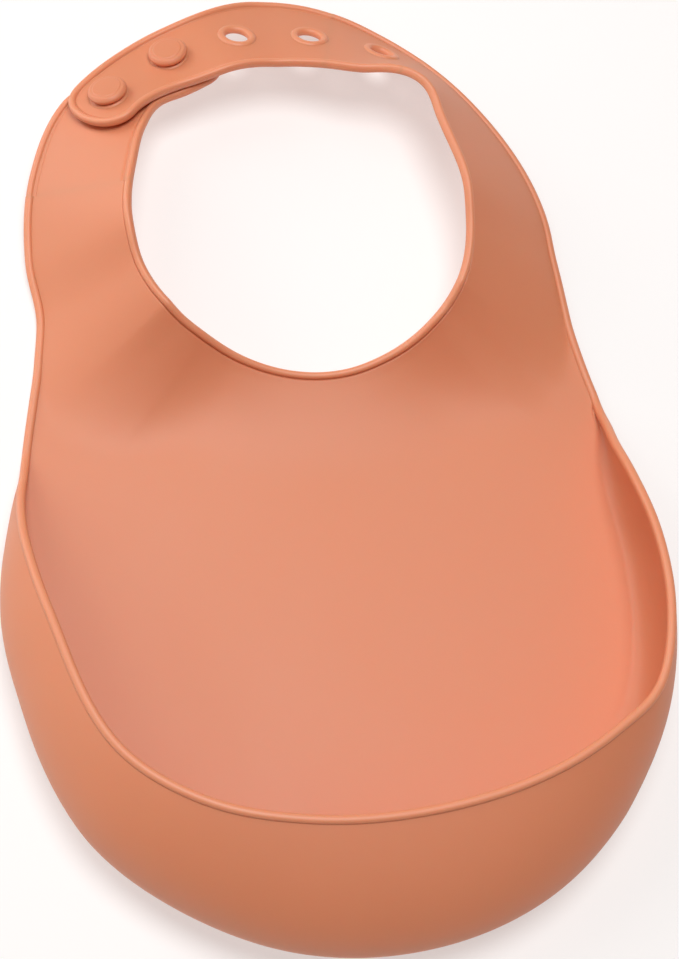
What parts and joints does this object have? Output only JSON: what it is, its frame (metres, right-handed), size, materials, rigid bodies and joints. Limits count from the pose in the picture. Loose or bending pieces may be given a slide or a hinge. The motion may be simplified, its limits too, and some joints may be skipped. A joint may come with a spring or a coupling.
{
  "type": "silicone bib",
  "caption": "Silicone bib with a scoop-shaped crumb pouch and a neck strap that fastens with mushroom studs pressed through raised eyelets.",
  "frame": {"origin": "centre of the footprint's bounding box, on the surface the bib lies on", "axes": "+X to the right seen from the front with the neck up, +Y from the pouch towards the nape, +Z out of the front"},
  "size_m": [0.2062, 0.3242, 0.0441],
  "materials": {
    "sheet_silicone": "soft matte silicone",
    "bead_silicone": "soft matte silicone, rounded bead",
    "stud_silicone": "soft matte silicone"
  },
  "bodies": {
    "pouch": {"pouch_floor": "sheet_silicone", "pouch_wall_left": "sheet_silicone", "pouch_wall_front": "sheet_silicone", "pouch_wall_right": "sheet_silicone", "pouch_rim_bead": "bead_silicone"},
    "chest": {"chest_panel": "sheet_silicone", "neck_bead": "bead_silicone", "edge_bead_left": "bead_silicone", "edge_bead_right": "bead_silicone", "eyelet_1_ring": "bead_silicone"},
    "strap_middle": {"hole_strap_mid": "sheet_silicone", "hole_strap_mid_inner_bead": "bead_silicone", "hole_strap_mid_outer_bead": "bead_silicone", "eyelet_2_ring": "bead_silicone"},
    "strap_end": {"hole_strap_end": "sheet_silicone", "hole_strap_end_inner_bead": "bead_silicone", "hole_strap_end_outer_bead": "bead_silicone", "hole_strap_tip_bead": "bead_silicone", "eyelet_3_ring": "bead_silicone", "eyelet_4_ring": "bead_silicone", "eyelet_5_ring": "bead_silicone"},
    "stud_end": {"stud_strap": "sheet_silicone", "stud_strap_inner_bead": "bead_silicone", "stud_strap_outer_bead": "bead_silicone", "stud_strap_tip_bead": "bead_silicone", "stud_1_stem": "stud_silicone", "stud_1_cap": "stud_silicone", "stud_2_stem": "stud_silicone", "stud_2_cap": "stud_silicone"}
  },
  "joints": [
    {"name": "chest_fold", "type": "hinge", "parent": "pouch", "child": "chest", "pos_m": [0.00577, 0.00806, 0.0041], "axis": [1, 0, 0], "range_deg": [0, 75], "stiffness_Nm_per_rad": 0.02},
    {"name": "hole_strap_bend", "type": "hinge", "parent": "chest", "child": "strap_middle", "pos_m": [0.03439, 0.14046, 0.01726], "axis": [0.3138, 0.7393, -0.5958], "range_deg": [0, 40], "stiffness_Nm_per_rad": 0.01},
    {"name": "hole_strap_peel", "type": "hinge", "parent": "strap_middle", "child": "strap_end", "pos_m": [0.00966, 0.14606, 0.01765], "axis": [0.0462, 0.8818, -0.4693], "range_deg": [0, 60], "stiffness_Nm_per_rad": 0.01, "deforming": ["eyelet_4_ring", "eyelet_5_ring"]},
    {"name": "stud_strap_bend", "type": "hinge", "parent": "chest", "child": "stud_end", "pos_m": [-0.05753, 0.10269, 0.01539], "axis": [-0.7772, 0.3624, -0.5145], "range_deg": [0, 30], "stiffness_Nm_per_rad": 0.01}
  ]
}
